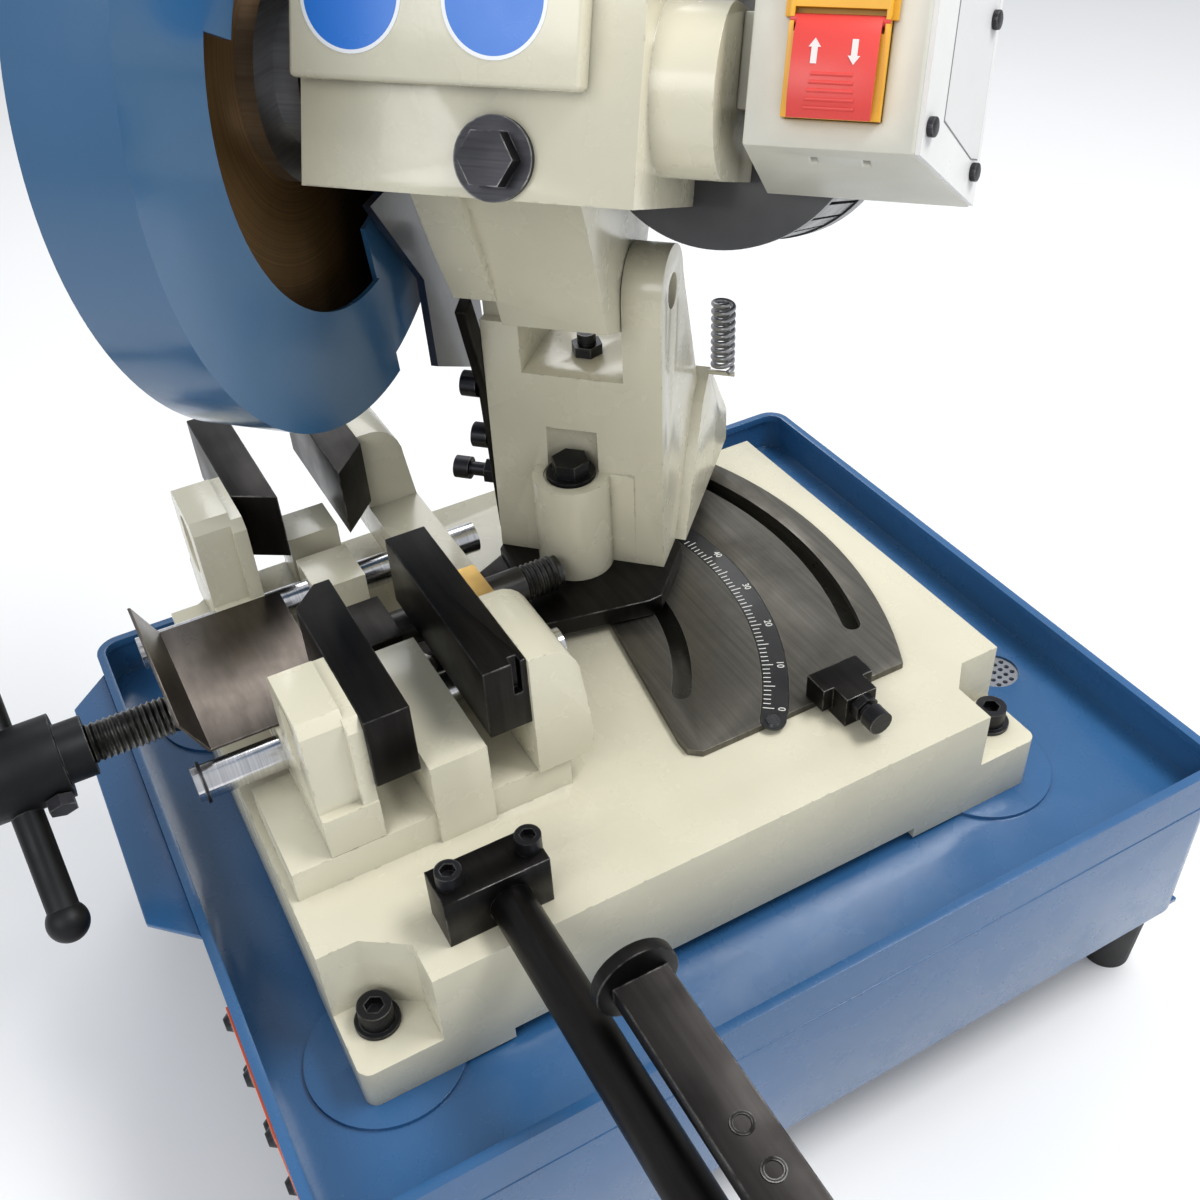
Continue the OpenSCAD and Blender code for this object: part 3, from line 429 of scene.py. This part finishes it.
def slab(outline, depth, place, round_by=0.0):
    """A flat plate from an outline in X and Z, its back on Y = 0 and its face toward -Y."""
    work = bmesh.new()
    back = [work.verts.new((x, 0, z)) for x, z in outline]
    face = work.faces.new(back)
    lifted = bmesh.ops.extrude_face_region(work, geom=[face])
    for item in lifted["geom"]:
        if isinstance(item, bmesh.types.BMVert):
            item.co.y -= depth
    bmesh.ops.recalc_face_normals(work, faces=work.faces)
    if round_by:
        bmesh.ops.bevel(work, geom=work.edges[:], offset=round_by, segments=2, affect="EDGES", profile=0.5)
    bmesh.ops.transform(work, matrix=place, verts=work.verts)
    mesh = bpy.data.meshes.new("slab")
    work.to_mesh(mesh)
    work.free()
    smooth(mesh)
    return mesh


def ring_points(radius, count=64):
    angles = [2 * pi * i / count for i in range(count)]
    return [(radius * cos(angle), radius * sin(angle)) for angle in angles]


def ring_mesh(inner, outer, depth, place):
    """A flat washer in X and Z, its back on Y = 0."""
    work = bmesh.new()
    loops = []
    for radius, y in ((inner, 0), (outer, 0), (outer, -depth), (inner, -depth)):
        loops.append([work.verts.new((x, y, z)) for x, z in ring_points(radius)])
    count = len(loops[0])
    for a, b in zip(loops, loops[1:] + loops[:1]):
        for i in range(count):
            work.faces.new((a[i], a[(i + 1) % count], b[(i + 1) % count], b[i]))
    bmesh.ops.recalc_face_normals(work, faces=work.faces)
    bmesh.ops.transform(work, matrix=place, verts=work.verts)
    mesh = bpy.data.meshes.new("ring")
    work.to_mesh(mesh)
    work.free()
    smooth(mesh)
    return mesh


def tube(name, points, radius, body, material, closed=False):
    curve = bpy.data.curves.new(name, "CURVE")
    curve.dimensions = "3D"
    curve.bevel_depth = radius
    curve.bevel_resolution = 4
    spline = curve.splines.new("POLY")
    spline.points.add(len(points) - 1)
    for point, co in zip(spline.points, points):
        point.co = (*co, 1)
    spline.use_cyclic_u = closed
    curve.use_fill_caps = True
    curve.materials.append(material)
    piece = bpy.data.objects.new(name, curve)
    bpy.context.scene.collection.objects.link(piece)
    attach(piece, body)
    return piece


# ---------- Looks of the CAD nodes ----------

CREAM = (0.65, 0.615, 0.475)
BLUE = (0.026, 0.105, 0.25)
GUARD_BLUE = (0.028, 0.10, 0.21)
SHEET = (0.10, 0.08, 0.07)
CAST_IRON = (0.12, 0.10, 0.08)


def casting_paint(name):
    return paint(name, CREAM, 0.24, cast=0.16, wear=0.6, bare=CAST_IRON, grime_and_shade=0.7)


def guard_paint(name):
    return paint(name, GUARD_BLUE, 0.2, wear=0.25, bare=SHEET)


def make_materials():
    blade_axis = tuple(joint["blade_spin"]["axis"])
    blade_centre = tuple(joint["blade_spin"]["pos_m"])
    return {
        "tray_blue": paint("tray_blue", BLUE, 0.25, wear=0.4, bare=SHEET, grime_and_shade=0.6),
        "plate_orange": paint("plate_orange", (0.78, 0.12, 0.05), 0.35, wear=0.1),
        "fastener_black": metal("fastener_black", (0.045, 0.045, 0.05), 0.38, worn=0.5),
        "rubber": plastic("rubber", (0.02, 0.02, 0.02), 0.7, 500.0, 0.12),
        "mesh_steel": metal("mesh_steel", (0.3, 0.31, 0.33), 0.45),
        "casting_cream": casting_paint("casting_cream"),
        "machined_iron": metal("machined_iron", (0.165, 0.155, 0.135), 0.42, (0.6, 26.0, 1.0), 0.6, worn=0.3),
        "scale_black": paint("scale_black", (0.015, 0.015, 0.016), 0.4, wear=0.2),
        "bright_steel": metal("bright_steel", (0.72, 0.72, 0.74), 0.16, (1.0, 40.0, 1.0), 0.25),
        "black_oxide": metal("black_oxide", (0.028, 0.026, 0.025), 0.36, (1.0, 14.0, 1.0), 0.4, worn=0.8),
        "cover_sheet": metal("cover_sheet", (0.115, 0.098, 0.085), 0.3, (2.0, 9.0, 1.0), 0.4, worn=0.5),
        "bronze": metal("bronze", (0.55, 0.36, 0.12), 0.35),
        "thread_steel": metal("thread_steel", (0.07, 0.068, 0.066), 0.34, worn=0.7),
        "handle_black": metal("handle_black", (0.03, 0.031, 0.032), 0.4, (1.0, 1.0, 1.0), 0.3, worn=0.4),
        "guard_blue": guard_paint("guard_blue"),
        "blade_bronze": ground_disc("blade_bronze", (0.19, 0.105, 0.036), blade_centre, blade_axis),
        "steel": metal("steel", (0.36, 0.36, 0.37), 0.32),
        "motor_black": paint("motor_black", (0.02, 0.02, 0.023), 0.42, cast=0.1, wear=0.2),
        "box_cream": plastic("box_cream", (0.66, 0.645, 0.56), 0.38, 700.0, 0.06),
        "box_white": plastic("box_white", (0.78, 0.78, 0.76), 0.3, 900.0, 0.03),
        "switch_yellow": plastic("switch_yellow", (0.88, 0.45, 0.02), 0.35),
        "switch_red": plastic("switch_red", (0.74, 0.06, 0.05), 0.36),
        "button_green": plastic("button_green", (0.04, 0.4, 0.1), 0.35),
        "grip_black": plastic("grip_black", (0.02, 0.02, 0.02), 0.55, 350.0, 0.15),
    }


# Edge radius of each casting and plate, in millimetres
ROUNDED = {
    "base_casting": 3.0, "front_jaw_carrier": 2.6, "rear_jaw_carrier": 3.0, "column": 3.0,
    "gearbox_housing": 2.6, "gearbox_cover": 2.0, "switch_box": 2.2, "coolant_tray": 1.6,
    "front_jaw_plates": 0.6, "rear_jaw_plates": 0.6, "stop_clamp_block": 0.8,
    "angle_stop_block": 1.0, "swivel_plate": 1.2, "vise_handle": 1.2, "mitre_sector": 0.5,
    "front_drip_shelf": 0.8,
    "stop_carrier": 0.8, "chip_cover": 0.3, "link_plate": 0.8, "screw_thrust_collar": 0.8,
    "switch_body": 0.8, "switch_flap": 0.8, "blank_plate": 0.4,
}


def guard_with_plate():
    """Guard paint, with the hanging plate beside the case turned nearly black: painted shade on guard-blue metal
    that lies in shadow.
    """
    pivot = tuple(HEAD.translation)
    across = tuple(HEAD.to_3x3().col[0])
    limit = head_box("gearbox_cover")[0].x - 8 * MM
    # Painted shade: a near-black copy of the guard blue on the plate's side of the guard.
    return recolour(guard_paint("guard_shaded_plate"), (0.012, 0.018, 0.035), [(pivot, across, limit, 1.0)])


def casting_with_tracks():
    """Casting enamel, with the tracks of the lock bolts under the sector turned nearly black as painted shade,
    standing for the deep shade inside those slots.
    """
    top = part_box("mitre_sector")[0].z
    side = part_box("base_casting")[1].x - 9 * MM
    reach = 0.2505
    origin = (0, 0, 0)
    limits = [(origin, (0, 0, 1), 0.15, top - 0.4 * MM), (origin, "round", 0.12, reach),
              (origin, (0, 1, 0), 0.06, 0.26), (origin, (1, 0, 0), -0.125, side)]
    # Painted shade: the track floors under the sector are turned nearly black.
    return recolour(casting_paint("casting_shaded_tracks"), (0.018, 0.017, 0.016), limits, 0.94)


def dress_nodes():
    for node, slot in slot_of.items():
        if node == "base_casting":
            rounded(node, ROUNDED[node] * MM, casting_with_tracks())
        elif node in ROUNDED:
            rounded(node, ROUNDED[node] * MM, look[slot])
        elif node == "upper_guard":
            dress(node, guard_with_plate())
        elif node != "return_spring":
            dress(node, look[slot])


# ---------- Added detail ----------


def make_stickers():
    """Two plain round discs with a pale ring on the gearbox cover."""
    low, high = head_box("gearbox_cover")
    radius = 20.5 * MM
    thick = 0.25 * MM
    face = low.y - 0.05 * MM
    blue = plastic("disc_blue", (0.02, 0.17, 0.62), 0.3, 900.0, 0.02, 0.15)
    pale = plastic("disc_pale", (0.8, 0.82, 0.84), 0.3, 900.0, 0.02, 0.15)
    for index, part in enumerate((0.222, 0.709)):
        x = low.x + (high.x - low.x) * part
        place = HEAD @ Matrix.Translation((x, face, low.z + 29.5 * MM))
        ring = ring_mesh(radius * 0.93, radius, thick, place)
        link(f"disc_ring_{index}", ring, "head", pale)
        disc = slab(ring_points(radius * 0.93), thick, place)
        link(f"disc_{index}", disc, "head", blue)


def cover_place(along, up, out):
    """A place on the switch box's side cover: X runs back along it and -Y points out of it."""
    low = head_box("switch_side_cover")[0]
    slope = atan2(21, 70)
    corner = Vector((low.x, low.y + 2 * MM * sin(slope), low.z))
    spot = corner + Vector((along * sin(slope), along * cos(slope), up)) * MM
    spot += Vector((cos(slope), -sin(slope), 0)) * out * MM
    return HEAD @ Matrix.Translation(spot) @ Matrix.Rotation(pi / 2 - slope, 4, "Z")


def make_side_label():
    """A blank label with one cut corner, thinly edged, on the switch box's side cover."""
    pale = plastic("label_white", (0.7, 0.7, 0.69), 0.35, 900.0, 0.02, 0.12)
    dark = plastic("label_edge", (0.2, 0.2, 0.21), 0.4, 900.0, 0.02, 0.1)
    layers = (("side_label_edge", 0.5, 0.14, dark), ("side_label", 0.0, 0.26, pale))
    for name, grow, depth, material in layers:
        outline = [(21 - grow, 30 - grow), (58, 18 - grow), (66 + grow, 18 - grow),
                   (66 + grow, 96 + grow), (21 - grow, 96 + grow)]
        outline = [(x * MM, z * MM) for x, z in outline]
        link(name, slab(outline, depth * MM, cover_place(0, 0, 1.98)), "head", material)


def make_numerals():
    """White degree ticks and numbers on the mitre scale, numbers read from outside the arc."""
    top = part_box("mitre_scale")[1].z
    inner = 181.9 * MM
    middle = 191.3 * MM
    zero = 38.4
    white = paint("scale_white", (0.7, 0.7, 0.66), 0.5, wear=0.0)
    work = bmesh.new()
    for value in range(47):
        length = (5.8 if value % 5 == 0 else 3.8) * MM
        angle = radians(90 - zero + value)
        out = Vector((cos(angle), sin(angle), 0))
        side = Vector((-sin(angle), cos(angle), 0)) * 0.28 * MM
        lift = Vector((0, 0, top + 0.06 * MM))
        near, far = inner * out, (inner + length) * out
        spots = (near - side, far - side, far + side, near + side)
        work.faces.new([work.verts.new(spot + lift) for spot in spots])
    lifted = bmesh.ops.extrude_face_region(work, geom=work.faces[:])
    for item in lifted["geom"]:
        if isinstance(item, bmesh.types.BMVert):
            item.co.z += 0.06 * MM
    bmesh.ops.recalc_face_normals(work, faces=work.faces)
    mesh = bpy.data.meshes.new("ticks")
    work.to_mesh(mesh)
    work.free()
    link("scale_ticks", mesh, "frame", white)
    for value in range(0, 50, 10):
        text = bpy.data.curves.new(f"number_{value}", "FONT")
        text.body = str(value)
        text.size = 5.4 * MM
        text.extrude = 0.06 * MM
        text.align_x = "CENTER"
        text.align_y = "CENTER"
        text.materials.append(white)
        piece = bpy.data.objects.new(f"number_{value}", text)
        bpy.context.scene.collection.objects.link(piece)
        angle = radians(90 - zero + value)
        piece.matrix_world = (
            Matrix.Translation((middle * cos(angle), middle * sin(angle), top + 0.1 * MM))
            @ Matrix.Rotation(angle - pi / 2, 4, "Z")
        )
        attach(piece, "frame")


def make_spring():
    """The return spring as a real coil with closed ends."""
    low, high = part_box("return_spring")
    wire = 1.5 * MM
    radius = (high.x - low.x) / 2 - wire
    middle = (low + high) / 2
    turns = 9
    steps = 28 * turns
    points = []
    for i in range(steps + 1):
        t = i / steps
        angle = 2 * pi * turns * t
        z = low.z + wire + (high.z - low.z - 2 * wire) * t
        points.append((middle.x + radius * cos(angle), middle.y + radius * sin(angle), z))
    piece = tube("spring_coil", points, wire, "turntable", look["steel"])
    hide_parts("return_spring")


def make_tray_seam():
    """The weld bead round the tray wall at floor level."""
    low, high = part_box("coolant_tray")
    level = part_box("base_casting")[0].z - 3 * MM
    radius = 14 * MM
    inset = -0.1 * MM
    points = []
    corners = [(high.x, high.y, 0), (low.x, high.y, 90), (low.x, low.y, 180), (high.x, low.y, 270)]
    for x, y, start in corners:
        cx = x - radius if x == high.x else x + radius
        cy = y - radius if y == high.y else y + radius
        for k in range(7):
            a = radians(start + 15 * k)
            points.append((cx + (radius + inset) * cos(a), cy + (radius + inset) * sin(a), level))
    tube("tray_seam", points, 0.6 * MM, "frame", look["tray_blue"], closed=True)


def make_flap_marks():
    """Five grip ribs and two plain arrows on the switch flap."""
    low, high = head_box("switch_flap")
    knee = low.z + 8 * MM
    middle = (low.x + high.x) / 2

    def front(z):
        return low.y + (z - knee) * (0.1 if z > knee else -0.25)

    for i in range(5):
        z = low.z + (3.5 + 2.8 * i) * MM
        half = (9 - 0.4 * i) * MM
        y = front(z) + 0.35 * MM
        ends = [HEAD @ Vector((middle - half, y, z)), HEAD @ Vector((middle + half, y, z))]
        tube(f"flap_rib_{i}", ends, 0.8 * MM, "flap", look["switch_red"])
    white = plastic("arrow_white", (0.8, 0.72, 0.7), 0.4, 900.0, 0.02, 0.1)
    stem, head, length, tip = 1.1 * MM, 2.2 * MM, 8.5 * MM, 3.0 * MM
    shape = [(-stem, 0), (stem, 0), (stem, length - tip), (head, length - tip), (0, length),
             (-head, length - tip), (-stem, length - tip)]
    for name, side, flip in (("up", -1, 1), ("down", 1, -1)):
        z = low.z + (18 if flip > 0 else 26.5) * MM
        outline = [(x * flip, h * flip) for x, h in shape]
        spot = Matrix.Translation((middle + side * 7 * MM, front(z) - 0.02 * MM, z))
        place = HEAD @ spot @ Matrix.Rotation(radians(-5.7), 4, "X")
        link(f"arrow_{name}", slab(outline, 0.15 * MM, place), "flap", white)


def make_weld_marks():
    """Two round plug welds along the top of the length stop's bar."""
    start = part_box("stop_carrier")[0].x + 74.5 * MM
    middle = -1.3 * MM
    bar_top = 259 * MM
    flat = Matrix.Rotation(-pi / 2, 4, "X")
    for index, along in enumerate((0, 19 * MM)):
        place = Matrix.Translation((start + along, middle, bar_top - 0.1 * MM)) @ flat
        ring = ring_mesh(3.2 * MM, 4.6 * MM, 0.6 * MM, place)
        link(f"weld_{index}", ring, "length_stop", look["black_oxide"])


def make_cover_screws():
    """Black screw heads on the switch box's side cover."""
    for index, (along, up) in enumerate(((6, 27), (62, 13), (62, 69), (6, 99))):
        head = slab(ring_points(3.7 * MM, 24), 2.7 * MM, cover_place(along, up, 1.9), 0.5 * MM)
        link(f"cover_screw_{index}", head, "head", look["fastener_black"])


look = {}
make_camera()
make_studio()
look.update(make_materials())
dress_nodes()
make_stickers()
make_side_label()
make_numerals()
make_spring()
make_tray_seam()
make_flap_marks()
make_cover_screws()
make_weld_marks()
